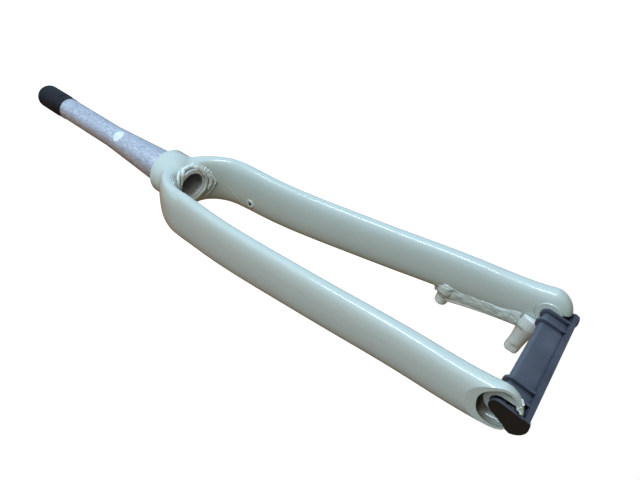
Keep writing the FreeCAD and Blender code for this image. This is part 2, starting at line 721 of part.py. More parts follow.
# Weld bead that closes the joint between the foot of the steerer and the crown's saddle
bead_outer = bound("Part::Cylinder", "BeadOuter", {
    "Radius": "Sizes.steerer_base_radius + Sizes.steerer_fit + Sizes.bead_width",
    "Height": "-Sizes.arch_top - Sizes.joint_height",
    "Placement.Base.z": "Sizes.joint_height - Sizes.arch_top",
})
bead_inner = bound("Part::Cylinder", "BeadInner", {
    "Radius": "Sizes.steerer_base_radius - Sizes.bead_lap",
    "Height": "-2 * Sizes.joint_height",
    "Placement.Base.z": "2 * Sizes.joint_height",
})
bead_room = bound("Part::Cylinder", "BeadRoom", {
    "Radius": "Sizes.steerer_base_radius + Sizes.steerer_fit",
    "Height": "-2 * Sizes.joint_height",
    "Placement.Base.z": "Sizes.steerer_bottom - Sizes.steerer_fit",
})
bead_band = cut("BeadBand", cut("BeadRing", bead_outer, bead_inner), bead_room)
bead_floor = fixed("BeadFloor", arch.Shape.translated(UP * -size("bead_height")))
bead_blank = common("BeadBlank", bead_band, bead_floor)
steerer_weld = cut("SteererWeld", bead_blank, crown_rim)
doc.recompute()

# Transport spacer: a moulded plastic bar between the dropouts, held by a pin and a tongue at each end
spacer_end = boss_face - size("spacer_gap")
plate_top = size("foot_trim") + size("spacer_gap")
plate_bottom = plate_top + size("spacer_plate")


bar = fixed("SpacerBar", nosed_prism(size("spacer_nose"), -spacer_end, spacer_end, plate_top))
rib_nose = size("spacer_nose") + size("spacer_rib_rise")
rib_width = size("spacer_rib_width")
rib_starts = (-spacer_end, -size("spacer_rib_offset") - rib_width, size("spacer_rib_offset"),
              spacer_end - rib_width)
ribs = [fixed("SpacerRib%d" % number, nosed_prism(rib_nose, start, start + rib_width, plate_top))
        for number, start in enumerate(rib_starts, start=1)]
base = fixed("SpacerBase", flat_prism(-size("tongue_offset"), size("tongue_offset"), (
    (-size("spacer_plate_front"), plate_top), (size("spacer_plate_front"), plate_top),
    (size("spacer_plate_front"), plate_bottom), (-size("spacer_plate_front"), plate_bottom))))
tongues = [fixed("SpacerTongue%d" % number, nosed_prism(
    size("tongue_nose"), start, start + size("tongue_width"), plate_bottom, size("tongue_belly")))
    for number, start in enumerate((-size("tongue_offset"), tongue_inner), start=1)]
pins = [lying_cylinder("SpacerPin%d" % number, size("spacer_pin_radius"), start,
                       start + tongue_inner - spacer_end)
        for number, start in enumerate((-tongue_inner, spacer_end), start=1)]
spacer_solid = joined("SpacerSolid", bar, base, *ribs, *tongues, *pins)

# The spacer's rear is cored out between its ribs, behind an even front wall
wall = size("spacer_wall")
core_top = wall - size("spacer_nose")
core_corners = ((flank(size("spacer_nose"), core_top) - wall, core_top),
                (flank(size("spacer_nose"), plate_top) - wall, plate_top),
                (-2 * size("spacer_plate_front"), plate_top), (-2 * size("spacer_plate_front"), core_top))
core_spans = [(start + rib_width, finish) for start, finish in zip(rib_starts, rib_starts[1:])]
cores = [fixed("SpacerCore%d" % number, flat_prism(start, finish, core_corners))
         for number, (start, finish) in enumerate(core_spans, start=1)]
spacer_cores = bound("Part::Compound", "SpacerCores", {})
spacer_cores.Links = cores
axle_spacer = cut("AxleSpacer", spacer_solid, spacer_cores)
doc.recompute()

# Each finished piece goes to a file of its own, once the whole document is sound
NODES = (
    ("steerer_tube", steerer_tube),
    ("steerer_cap", steerer_cap),
    ("crown", crown),
    ("steerer_weld", steerer_weld),
    ("right_leg", right_leg),
    ("left_leg", left_leg),
    ("right_dropout", right_dropout),
    ("left_dropout", left_dropout),
    ("right_front_weld", right_front_weld),
    ("right_rear_weld", right_rear_weld),
    ("left_front_weld", left_front_weld),
    ("left_rear_weld", left_rear_weld),
    ("brake_lower_post", brake_lower_post),
    ("brake_upper_post", brake_upper_post),
    ("rivet_nut", rivet_nut),
    ("axle_spacer", axle_spacer),
)
for item in doc.Objects:
    if {"Invalid", "Error"} & set(item.State):
        raise RuntimeError("%s did not build" % item.Name)
for label, item in NODES:
    if item.Shape.isNull() or not item.Shape.isValid():
        raise RuntimeError("%s has no sound shape" % label)
    if len(item.Shape.Solids) != 1:
        raise RuntimeError("%s is %d solids" % (label, len(item.Shape.Solids)))

os.makedirs("parts", exist_ok=True)
for label, item in NODES:
    item.Label = label
    item.Shape.exportStep("parts/%s.step" % label)
    print("%-18s %10.1f mm3" % (label, item.Shape.Volume))
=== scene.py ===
import math

import bmesh
import bpy
from mathutils import Matrix, Vector, noise
from mathutils.bvhtree import BVHTree


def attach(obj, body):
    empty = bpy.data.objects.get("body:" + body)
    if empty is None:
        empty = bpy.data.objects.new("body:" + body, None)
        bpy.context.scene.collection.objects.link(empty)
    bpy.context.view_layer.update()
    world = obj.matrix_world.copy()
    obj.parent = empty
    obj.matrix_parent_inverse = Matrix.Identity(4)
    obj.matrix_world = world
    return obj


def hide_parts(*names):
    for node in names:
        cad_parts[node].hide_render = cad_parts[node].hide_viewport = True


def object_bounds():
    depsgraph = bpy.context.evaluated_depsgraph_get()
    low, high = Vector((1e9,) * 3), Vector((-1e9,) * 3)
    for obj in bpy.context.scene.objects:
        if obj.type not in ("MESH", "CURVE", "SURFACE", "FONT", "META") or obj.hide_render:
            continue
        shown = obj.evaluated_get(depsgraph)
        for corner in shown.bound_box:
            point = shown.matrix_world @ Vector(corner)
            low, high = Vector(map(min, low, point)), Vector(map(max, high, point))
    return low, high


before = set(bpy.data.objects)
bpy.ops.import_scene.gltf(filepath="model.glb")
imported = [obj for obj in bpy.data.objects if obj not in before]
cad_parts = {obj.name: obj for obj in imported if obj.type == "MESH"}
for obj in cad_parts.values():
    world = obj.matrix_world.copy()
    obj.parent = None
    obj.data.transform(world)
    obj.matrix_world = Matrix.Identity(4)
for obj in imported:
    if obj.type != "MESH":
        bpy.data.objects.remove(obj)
cad_low, cad_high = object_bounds()

# Steerer tube: a drawn aluminium tube, left bare so that bearings and stem seat on clean metal.
# Drawing and handling leave it mottled, with fine pale streaks that run along it. Mist from the
# spray gun reaches into its foot, and coats the cut end and the rear wall of the bore. These two
# are painted near white and bluish, far paler than the paint, as light falling in at the opening.
STREAK_DARK, STREAK_PALE, BLOTCH = (0.34, 0.36, 0.42), (0.76, 0.78, 0.83), (0.44, 0.45, 0.51)
BORE, MIST_PAINTED_LIT = (0.27, 0.29, 0.33), (0.92, 0.96, 1.0)
BARE_ABOVE_Z, FOOT_BELOW_Z = -0.012, -0.03
REAR_WALL_Y = (-0.003, -0.011)
CUT_END_Z = (-0.0400, -0.0406)


def feed(tree, socket, value):
    """Links a node's output to a socket, or sets the socket's value; a colour has no alpha."""
    if isinstance(value, bpy.types.NodeSocket):
        tree.links.new(value, socket)
    elif socket.type == "RGBA":
        socket.default_value = (*value, 1)
    else:
        socket.default_value = value


def plug(tree, node, **inputs):
    """Feeds a node's sockets, each named with _ for a space."""
    for name, value in inputs.items():
        feed(tree, node.inputs[name.replace("_", " ")], value)


def add_node(tree, kind, settings=None, **inputs):
    """A node with its settings and what its sockets are fed."""
    node = tree.nodes.new(kind)
    for name, value in (settings or {}).items():
        setattr(node, name, value)
    plug(tree, node, **inputs)
    return node


def new_finish(name, **sockets):
    """A material whose shader has the given values on its own sockets."""
    material = bpy.data.materials.new(name)
    material.use_nodes = True
    shader = material.node_tree.nodes["Principled BSDF"]
    plug(material.node_tree, shader, **sockets)
    return material, material.node_tree, shader


def grain(tree, scale, stretch=(1, 1, 1), detail=4.0, roughness=0.55, distortion=0.0):
    """Noise on the piece's own coordinates, its cells stretched by the given factors."""
    place = add_node(tree, "ShaderNodeTexCoord").outputs["Object"]
    stretched = add_node(tree, "ShaderNodeMapping", Vector=place, Scale=stretch).outputs["Vector"]
    return add_node(tree, "ShaderNodeTexNoise", Vector=stretched, Scale=scale, Detail=detail,
                    Roughness=roughness, Distortion=distortion).outputs["Fac"]


def shades(tree, value, stops):
    """A run of colours or greys over a value."""
    ramp = add_node(tree, "ShaderNodeValToRGB", Fac=value)
    while len(ramp.color_ramp.elements) < len(stops):
        ramp.color_ramp.elements.new(0.5)
    for element, (position, color) in zip(ramp.color_ramp.elements, stops):
        element.position = position
        element.color = (*color, 1) if isinstance(color, tuple) else (color, color, color, 1)
    return ramp.outputs["Color"]


def blended(tree, factor, first, second):
    """Two colours mixed by a factor."""
    mix = add_node(tree, "ShaderNodeMix", {"data_type": "RGBA"}, Factor=factor)
    color_a, color_b, mixed = mix.inputs[6], mix.inputs[7], mix.outputs[2]
    feed(tree, color_a, first)
    feed(tree, color_b, second)
    return mixed


def coordinate(tree, axis, space="Object"):
    """One axis of the piece's own coordinates, or of another space."""
    place = add_node(tree, "ShaderNodeTexCoord").outputs[space]
    return add_node(tree, "ShaderNodeSeparateXYZ", Vector=place).outputs[axis]


def fade(tree, value, start, end, top=1.0):
    """Grows from 0, where the value is at the start, to the top at its end."""
    return add_node(tree, "ShaderNodeMapRange", Value=value, From_Min=start, From_Max=end,
                    To_Max=top).outputs["Result"]


def maths(tree, operation, *values):
    """What a Math node makes of the values."""
    node = add_node(tree, "ShaderNodeMath", {"operation": operation})
    for socket, value in zip(node.inputs, values):
        feed(tree, socket, value)
    return node.outputs["Value"]


def raised(tree, shader, height, distance, strength):
    """Bumps the shader's surface by a height, over a distance in metres."""
    bump = add_node(tree, "ShaderNodeBump", Height=height, Distance=distance, Strength=strength)
    plug(tree, shader, Normal=bump.outputs["Normal"])


def dress(node, material):
    """Gives a CAD node its finish."""
    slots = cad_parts[node].data.materials
    slots.clear()
    slots.append(material)


bare_metal, tree, shader = new_finish("bare_aluminium")
streaks = grain(tree, 900, (1, 1, 0.16), detail=6, roughness=0.7, distortion=0.6)
blotches = grain(tree, 70, (1, 1, 0.35), detail=3)
tone = blended(tree, shades(tree, streaks, ((0.42, 0.0), (0.62, 1.0))), STREAK_DARK, STREAK_PALE)
tone = blended(tree, shades(tree, blotches, ((0.35, 0.0), (0.7, 0.6))), tone, BLOTCH)
along_tube, across_tube = coordinate(tree, "Z"), coordinate(tree, "Y")
# Painted light: the rear wall of the bore and the cut end turn near white, as light falling in.
misted_and_lit = maths(tree, "MAXIMUM", fade(tree, across_tube, *REAR_WALL_Y),
               fade(tree, along_tube, *CUT_END_Z))
in_foot = fade(tree, along_tube, BARE_ABOVE_Z, FOOT_BELOW_Z)
plug(tree, shader,
     Base_Color=blended(tree, in_foot, tone, blended(tree, misted_and_lit, BORE, MIST_PAINTED_LIT)),
     Metallic=fade(tree, along_tube, FOOT_BELOW_Z, BARE_ABOVE_Z, top=0.6),
     Roughness=shades(tree, streaks, ((0.3, 0.5), (0.7, 0.36))))
raised(tree, shader, streaks, distance=0.00006, strength=0.5)
dress("steerer_tube", bare_metal)

# Transport cap: a dipped rubber thimble pushed over the steerer's cut end.
# Its skirt is thin, and the surface is soft with a faint bloom.
CAP_BLACK, CAP_BLOOM = (0.002, 0.002, 0.004), (0.006, 0.005, 0.009)
rubber, tree, shader = new_finish("cap_rubber", Roughness=0.6, Specular_IOR_Level=0.25)
bloom = grain(tree, 260, (1, 1, 0.5), detail=5)
plug(tree, shader, Base_Color=shades(tree, bloom, ((0.35, CAP_BLACK), (0.7, CAP_BLOOM))))
raised(tree, shader, bloom, distance=0.0002, strength=0.25)
dress("steerer_cap", rubber)

# Crown and blades: welded, linished smooth, primed and sprayed in one pale mint gloss, which has
# faint orange peel and the odd speck of dust. Deep in the blades' feet the shut-in hollows are
# painted dark brown as shade.
PAINT, DUST, HOLLOW_SHADE = (0.50, 0.565, 0.535), (0.35, 0.36, 0.33), (0.10, 0.08, 0.055)
CLOUDED = tuple(0.96 * value for value in PAINT)
BLADE_FOOT_Z = (-0.365, -0.385)
HOLLOW_WIDTH = 0.02
GLOSS = {"Roughness": 0.3, "Coat_Weight": 1.0, "Coat_Roughness": 0.05}
paint, tree, shader = new_finish("mint_paint", **GLOSS)
clouds = shades(tree, grain(tree, 14, detail=2), ((0.35, 0.0), (0.65, 1.0)))
specks = shades(tree, grain(tree, 520, detail=1), ((0.78, 0.0), (0.82, 0.35)))
tone = blended(tree, specks, blended(tree, clouds, PAINT, CLOUDED), DUST)
# Painted shade: the more shut in a hollow of a blade's foot is, the darker brown it is painted.
unoccluded = add_node(tree, "ShaderNodeAmbientOcclusion", {"samples": 8, "only_local": True},
                       Distance=HOLLOW_WIDTH).outputs["AO"]
shaded_hollows = maths(tree, "MULTIPLY", fade(tree, coordinate(tree, "Z"), *BLADE_FOOT_Z),
                fade(tree, unoccluded, 0.9, 0.5))
plug(tree, shader, Base_Color=blended(tree, shaded_hollows, tone, HOLLOW_SHADE))
raised(tree, shader, grain(tree, 300, detail=2), distance=0.00004, strength=0.35)
for node in ("crown", "right_leg", "left_leg", "right_dropout", "left_dropout", "brake_lower_post",
             "brake_upper_post", "steerer_weld", "right_front_weld", "right_rear_weld",
             "left_front_weld", "left_rear_weld"):
    dress(node, paint)

# Welds: hand laid aluminium beads, painted over and left unground. Their scales pile up in a
# ragged double ring round the steerer's foot, and a seam in the paint runs on down the far arm.
# The beads' paint is a lighter copy of the mint, painted light for the shade of the crown's hollow.
LIT_PAINT_DARK, LIT_PAINT_PALE = (0.66, 0.72, 0.71), (0.73, 0.80, 0.79)
PER_METRE = 1000  # the points of pieces are in millimetres, and materials in metres
CUT_END = -41.0
RING_STEPS = 60
CORNER = 6  # the rise of the saddle over which the bead grows to fill the corner
RING_RADIUS, RING_GROWTH = 18.9, 1.7
RING_GIRTH, GIRTH_GROWTH = 1.8, 0.9
IN_CORNER, ON_TUBE, TUBE_SLOPE = -0.4, -1.6, 0.15  # the bead's height there
PROBE_RADIUS, PROBE_Z = 22.8, -80  # where a ray up to the saddle starts


def ripple_tree():
    """Scales strung along a path, over a core that joins them, as a weld bead has."""
    tree = bpy.data.node_groups.new("weld_ripples", "GeometryNodeTree")
    for name, kind, value in (
            ("Path", "Geometry", None), ("Spacing", "Float", 0.0016), ("Thickness", "Float", 0.8),
            ("Wander", "Float", 0.0006), ("Dents", "Float", 0.0007), ("Seed", "Int", None),
            ("Finish", "Material", None)):
        socket = tree.interface.new_socket(name, in_out="INPUT", socket_type="NodeSocket" + kind)
        if value is not None:
            socket.default_value = value
    tree.interface.new_socket("Bead", in_out="OUTPUT", socket_type="NodeSocketGeometry")
    given = add_node(tree, "NodeGroupInput").outputs

    def after(geometry, kind, settings=None, **inputs):
        node = add_node(tree, kind, settings, **inputs)
        tree.links.new(geometry, node.inputs[0])
        return node.outputs[0]

    def point_value(name):
        return add_node(tree, "GeometryNodeInputNamedAttribute", {"data_type": "FLOAT"},
                        Name=name).outputs["Attribute"]

    girth, ragged = point_value("girth"), point_value("ragged")
    chance = add_node(tree, "FunctionNodeRandomValue", {"data_type": "FLOAT"}, Seed=given["Seed"])
    chance.inputs[2].default_value, chance.inputs[3].default_value = -0.35, 0.35
    swell = maths(tree, "MULTIPLY", girth,
                  maths(tree, "MULTIPLY_ADD", chance.outputs[1], ragged, 1.0))
    size = add_node(tree, "ShaderNodeCombineXYZ", Y=swell, Z=swell,
                    X=maths(tree, "MULTIPLY", swell, given["Thickness"])).outputs[0]
    drift = add_node(tree, "FunctionNodeRandomValue", {"data_type": "FLOAT_VECTOR"},
                     Min=(-1, -1, -1), Seed=given["Seed"]).outputs[0]
    stray = add_node(tree, "ShaderNodeVectorMath", {"operation": "SCALE"}, Vector=drift,
                     Scale=maths(tree, "MULTIPLY", given["Wander"], ragged)).outputs[0]
    curve = after(given["Path"], "GeometryNodeMeshToCurve")
    even = after(curve, "GeometryNodeResampleCurve", {"mode": "LENGTH"}, Length=given["Spacing"])
    strung = after(even, "GeometryNodeSetPosition", Offset=stray)
    scale = add_node(tree, "GeometryNodeMeshUVSphere", Segments=10, Rings=6, Radius=1.0)
    facing = add_node(tree, "FunctionNodeAlignRotationToVector", {"axis": "X"},
                      Vector=add_node(tree, "GeometryNodeInputTangent").outputs[0])
    scales = after(strung, "GeometryNodeInstanceOnPoints", Instance=scale.outputs["Mesh"],
                   Rotation=facing.outputs[0], Scale=size)
    outline = add_node(tree, "GeometryNodeCurvePrimitiveCircle", Resolution=16, Radius=0.9)
    core = after(strung, "GeometryNodeCurveToMesh", Profile_Curve=outline.outputs["Curve"],
                 Scale=girth, Fill_Caps=True)
    both = add_node(tree, "GeometryNodeJoinGeometry")
    for part in (scales, core):
        tree.links.new(part, both.inputs[0])
    real = after(both.outputs[0], "GeometryNodeRealizeInstances")
    pits = add_node(tree, "ShaderNodeTexNoise", Scale=330, Detail=2).outputs["Color"]
    level = add_node(tree, "ShaderNodeVectorMath", {"operation": "SUBTRACT"}, Vector=pits)
    level.inputs[1].default_value = (0.5, 0.5, 0.5)
    dent = add_node(tree, "ShaderNodeVectorMath", {"operation": "SCALE"}, Scale=given["Dents"],
                    Vector=level.outputs[0]).outputs[0]
    dented = after(real, "GeometryNodeSetPosition", Offset=dent)
    smooth = after(dented, "GeometryNodeSetShadeSmooth")
    finished = after(smooth, "GeometryNodeSetMaterial", Material=given["Finish"])
    tree.links.new(finished, add_node(tree, "NodeGroupOutput").inputs[0])
    return tree


ripples = ripple_tree()
# Painted light: a lighter copy of the mint paint, for the beads and the cast posts in the shade.
lit_paint, tree, shader = new_finish("lit_paint", **GLOSS)
plug(tree, shader,
     Base_Color=shades(tree, grain(tree, 420), ((0.35, LIT_PAINT_DARK), (0.65, LIT_PAINT_PALE))))


def evaluated_mesh(piece):
    """The mesh that a piece's modifiers make of it."""
    bpy.context.view_layer.update()
    ready = piece.evaluated_get(bpy.context.evaluated_depsgraph_get())
    return bpy.data.meshes.new_from_object(ready)


def weld_bead(name, rows, seed, **inputs):
    """A bead along rows of (x, y, z, girth) points; a row may close on itself."""
    path = bmesh.new()
    girth = path.verts.layers.float.new("girth")
    ragged = path.verts.layers.float.new("ragged")
    for row, closed, unevenness in rows:
        points = []
        for x, y, z, size in row:
            points.append(path.verts.new((x / PER_METRE, y / PER_METRE, z / PER_METRE)))
            points[-1][girth] = size / PER_METRE
            points[-1][ragged] = unevenness
        for first, second in zip(points, points[1:] + (points[:1] if closed else [])):
            path.edges.new((first, second))
    mesh = bpy.data.meshes.new(name)
    path.to_mesh(mesh)
    path.free()
    bead = bpy.data.objects.new(name, mesh)
    bpy.context.collection.objects.link(bead)
    modifier = bead.modifiers.new("ripples", "NODES")
    modifier.node_group = ripples
    wanted = {"Seed": seed, "Finish": lit_paint, **inputs}
    for socket in ripples.interface.items_tree:
        if socket.in_out == "INPUT" and socket.name in wanted:
            modifier[socket.identifier] = wanted[socket.name]
    bead.data = evaluated_mesh(bead)
    bead.modifiers.clear()
    bpy.data.meshes.remove(mesh)
    bead.data.name = name
    return bead


def surface_of(*names):
    """The CAD nodes' surface, for rays, in metres."""
    corners, faces = [], []
    for name in names:
        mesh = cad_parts[name].data
        start = len(corners)
        corners += [vertex.co.copy() for vertex in mesh.vertices]
        faces += [[start + index for index in face.vertices] for face in mesh.polygons]
    return BVHTree.FromPolygons(corners, faces)


saddle = surface_of("crown")
ring = []
for step in range(RING_STEPS):
    turn = math.radians(step * 360 / RING_STEPS)
    below = Vector((PROBE_RADIUS * math.cos(turn), PROBE_RADIUS * math.sin(turn), PROBE_Z))
    rise = saddle.ray_cast(below / PER_METRE, Vector((0, 0, 1)))[0].z * PER_METRE - CUT_END
    share = min(max(rise / CORNER, 0), 1)
    radius = RING_RADIUS + RING_GROWTH * share
    height = CUT_END + (rise / 2 + IN_CORNER if rise > 0 else ON_TUBE + TUBE_SLOPE * rise)
    ring.append((radius * math.cos(turn), radius * math.sin(turn), height,
                 RING_GIRTH + GIRTH_GROWTH * share))
outer_row = [(-8.0, 21.6, -33.8, 1.5), (-13.3, 19.3, -36.8, 1.8), (-17.2, 16.2, -39.9, 1.9),
             (-20.4, 13.2, -42.6, 2.0), (-23.2, 10.2, -45.4, 2.0), (-24.8, 5.2, -48.0, 1.9),
             (-26.4, 0.4, -50.2, 1.7), (-26.2, -3.6, -50.0, 1.5), (-24.6, -9.0, -47.6, 1.4),
             (-22.6, -14.6, -45.2, 1.4), (-19.5, -20.0, -42.2, 1.3), (-16.6, -25.0, -39.2, 1.1)]
inner_row = [(-12.6, 17.4, -38.6, 2.0), (-17.0, 13.0, -41.6, 2.4), (-20.6, 8.2, -44.4, 2.7),
             (-22.8, 2.6, -46.6, 2.7), (-22.6, -4.0, -46.6, 2.5), (-20.6, -10.4, -44.2, 2.2)]
near_row = [(12.4, 20.4, -36.4, 1.9), (18.0, 16.6, -40.4, 2.1), (22.0, 11.0, -44.6, 2.1),
            (24.2, 4.6, -47.4, 2.0), (24.4, -3.0, -47.6, 1.8), (22.2, -11.0, -45.0, 1.5)]
ring_weld = weld_bead("steerer_weld_ripples", (
    (ring, True, 0.12), (outer_row, False, 0.5),
    (inner_row, False, 0.3), (near_row, False, 0.3)), seed=7)
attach(ring_weld, "root")
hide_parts("steerer_weld")
seam = [(-26.7, -2.0, -50.3, 0.25), (-29.2, -1.1, -54.4, 0.25), (-31.6, -2.8, -60.1, 0.25),
        (-33.2, -6.5, -66.7, 0.25), (-34.6, -12.6, -75.3, 0.25), (-36.2, -18.1, -85.3, 0.2)]
paint_seam = weld_bead("arm_paint_seam", ((seam, False, 0.3),), seed=3, Finish=paint)
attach(paint_seam, "root")

# Brake posts: cast with the bracket, so every edge but the milled ends is rounded off under the
# paint. The lower one is the longer, and is worn softer. They wear the lighter copy of the paint,
# painted light for the shade of the far blade over them.
CAST_DETAIL = 0.6


def rounded(name, node, rounds):
    """The CAD node's shape with its sharp edges worn round."""
    piece = bpy.data.objects.new(name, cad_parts[node].data.copy())
    bpy.context.collection.objects.link(piece)
    even = piece.modifiers.new("even", "REMESH")
    even.mode = "VOXEL"
    even.voxel_size = CAST_DETAIL / PER_METRE
    worn = piece.modifiers.new("worn", "SMOOTH")
    worn.factor = 0.5
    worn.iterations = rounds
    mesh = evaluated_mesh(piece)
    piece.modifiers.clear()
    piece.data = mesh
    mesh.name = name
    mesh.materials.clear()
    mesh.materials.append(lit_paint)
    for face in mesh.polygons:
        face.use_smooth = True
    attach(piece, "root")
    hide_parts(node)


rounded("cast_upper_post", "brake_upper_post", rounds=24)
rounded("cast_lower_post", "brake_lower_post", rounds=60)

# Brake bracket weld: lumps run down the cast web from the upper post to the lower one, where it
# was welded to the blade. They are hand laid, and are under the paint.
UPPER_EDGE = [(11.0, -322), (13.5, -334), (16.4, -342), (15.4, -350), (18.4, -358), (18.8, -364),
              (19.6, -370), (21.6, -377), (21.2, -384), (23.4, -390), (24.0, -396), (23.4, -403)]
LOWER_EDGE = [(-0.5, -325), (-1.0, -336), (2.0, -345), (4.8, -355), (6.8, -363), (8.6, -372),
              (10.4, -381), (11.4, -389), (12.6, -395), (14.2, -401), (15.4, -406), (16.8, -410)]
WEB_STEPS, WEB_ACROSS = 120, 24
BETWEEN_BLADES_X = -10
TOWARD_LEFT_BLADE = (-1, 0, 0)
LUMP, LUMP_ROUGHNESS, WEB_SUNK = 1.3, 1.0, -0.3
UNDERSIDE, LEVEL_DEPTH = -0.4, 0.04


def skin(name, rows, surface, finish, closed=False, filled=False):
    """A thin layer on a surface, from rows of (start, direction, height) rays. Closed rows meet
    their own start, and a filled layer is shut inside its first row."""
    layer = bmesh.new()
    sheets = []
    for sunk in (None, UNDERSIDE):
        sheet = []
        for row in rows:
            line, depth = [], LEVEL_DEPTH
            for start, direction, height in row:
                toward = Vector(direction).normalized()
                begin = Vector(start) / PER_METRE
                hit, normal, _, reach = surface.ray_cast(begin, toward)
                if hit is None:  # past the edge the layer runs on level
                    hit, normal = begin + toward * depth, -toward
                else:
                    depth = reach
                    if normal.dot(toward) > 0:
                        normal = -normal
                lift = height if sunk is None else sunk
                line.append(layer.verts.new(hit + normal * lift / PER_METRE))
            if filled and not sheet:
                layer.faces.new(line)
            sheet.append(line + line[:1] if closed else line)
        sheets.append(sheet)
    top, bottom = sheets
    strips = [pair for sheet in sheets for pair in zip(sheet, sheet[1:])]
    strips.append((top[-1], bottom[-1]))
    if not filled:
        strips.append((top[0], bottom[0]))
    if not closed:
        strips += [([line[end] for line in top], [line[end] for line in bottom])
                   for end in (0, -1)]
    for above, below in strips:
        for a, b, c, d in zip(above, below, below[1:], above[1:]):
            layer.faces.new((a, b, c, d))
    bmesh.ops.recalc_face_normals(layer, faces=layer.faces)
    for face in layer.faces:
        face.smooth = True
    mesh = bpy.data.meshes.new(name)
    layer.to_mesh(mesh)
    layer.free()
    mesh.materials.append(finish)
    piece = bpy.data.objects.new(name, mesh)
    bpy.context.collection.objects.link(piece)
    return piece


def along(points, share):
    """The point at a share of the way through a list of points."""
    place = share * (len(points) - 1)
    index = min(int(place), len(points) - 2)
    return Vector(points[index]).lerp(Vector(points[index + 1]), place - index)


rows = []
for step in range(WEB_STEPS + 1):
    down = step / WEB_STEPS
    upper, lower = along(UPPER_EDGE, down), along(LOWER_EDGE, down)
    row = []
    for across in range(WEB_ACROSS + 1):
        share = across / WEB_ACROSS
        y, z = upper.lerp(lower, share)
        rough = (noise.noise(Vector((y * 0.16, z * 0.13, 3.0)))
                 + 0.5 * noise.noise(Vector((y * 0.4, z * 0.3, 9.0))))
        body = math.sin(math.pi * share) ** 0.4 * min(1, 8 * down, 8 * (1 - down)) ** 0.5
        height = WEB_SUNK + body * (LUMP + LUMP_ROUGHNESS * rough)
        row.append(((BETWEEN_BLADES_X, y, z), TOWARD_LEFT_BLADE, height))
    rows.append(row)
web_weld = skin("bracket_weld", rows,
                surface_of("left_leg", "brake_upper_post", "brake_lower_post"), paint)
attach(web_weld, "root")

# Sticker: a plain oval of pale film pressed round the steerer, on the side that faces the camera.
# It is left blank.
FILM_DARK, FILM_PALE = (0.55, 0.62, 0.68), (0.78, 0.84, 0.88)
STICKER_Z, STICKER_HALF_HEIGHT, STICKER_HALF_WIDTH = 85, 7.2, 9.2
STICKER_TURN = math.radians(60.8)
TUBE_RADIUS, CLEAR_OF_TUBE = 15.6, 40
STICKER_RINGS, STICKER_STEPS, MIDDLE = 8, 48, 0.02
FILM_THICKNESS, FILM_EDGE = 0.12, 0.05
film, tree, shader = new_finish("sticker_film", Roughness=0.35)
plug(tree, shader,
     Base_Color=shades(tree, grain(tree, 500), ((0.35, FILM_DARK), (0.65, FILM_PALE))))
rows = []
for ring_step in range(STICKER_RINGS + 1):
    share = max(ring_step / STICKER_RINGS, MIDDLE)
    thickness = FILM_THICKNESS if ring_step < STICKER_RINGS else FILM_EDGE
    row = []
    for step in range(STICKER_STEPS):
        turn = math.tau * step / STICKER_STEPS
        sweep = STICKER_TURN + share * STICKER_HALF_WIDTH * math.cos(turn) / TUBE_RADIUS
        x, y = math.cos(sweep), math.sin(sweep)
        z = STICKER_Z + share * STICKER_HALF_HEIGHT * math.sin(turn)
        row.append(((CLEAR_OF_TUBE * x, CLEAR_OF_TUBE * y, z), (-x, -y, 0), thickness))
    rows.append(row)
sticker = skin("steerer_sticker", rows, surface_of("steerer_tube"), film, closed=True, filled=True)
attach(sticker, "root")

# Threaded insert: a rivet nut squeezed into the inner wall of the left blade before painting.
# Its flange is under the paint, which builds up in a ring round it; that paint is a lighter copy of
# the mint, painted light. The thread in the hole is painted near black as shade.
INSERT_Y, INSERT_Z = -13, -97
HOLE_SHADE_DARK, HOLE_SHADE_PALE, FLANGE_PAINT_LIT = (0.05, 0.05, 0.045), (0.12, 0.12, 0.11), (0.66, 0.72, 0.70)
BARE_WITHIN, PAINTED_BEYOND = 0.0022, 0.0026
BUILD_UP = ((3.9, 0.1), (4.2, 0.45), (4.6, 0.7), (5.0, 0.7), (5.4, 0.4), (5.8, -0.2))
BUILD_UP_STEPS = 48
insert, tree, shader = new_finish("painted_insert", Roughness=0.3, Coat_Roughness=0.06)
centred = add_node(tree, "ShaderNodeMapping", Scale=(0, 1, 1),
                   Vector=add_node(tree, "ShaderNodeTexCoord").outputs["Object"],
                   Location=(0, -INSERT_Y / PER_METRE, -INSERT_Z / PER_METRE)).outputs[0]
from_axis = add_node(tree, "ShaderNodeVectorMath", {"operation": "LENGTH"},
                     Vector=centred).outputs["Value"]
under_paint = fade(tree, from_axis, BARE_WITHIN, PAINTED_BEYOND)
shaded_thread = shades(tree, grain(tree, 900), ((0.3, HOLE_SHADE_DARK), (0.7, HOLE_SHADE_PALE)))
plug(tree, shader, Base_Color=blended(tree, under_paint, shaded_thread, FLANGE_PAINT_LIT),
     Coat_Weight=under_paint)
dress("rivet_nut", insert)
rows = []
for radius, height in BUILD_UP:
    row = []
    for step in range(BUILD_UP_STEPS):
        turn = math.tau * step / BUILD_UP_STEPS
        y, z = INSERT_Y + radius * math.cos(turn), INSERT_Z + radius * math.sin(turn)
        row.append(((BETWEEN_BLADES_X, y, z), TOWARD_LEFT_BLADE, height))
    rows.append(row)
paint_ring = skin("insert_paint_ring", rows, surface_of("left_leg", "rivet_nut"), insert,
                  closed=True)
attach(paint_ring, "root")

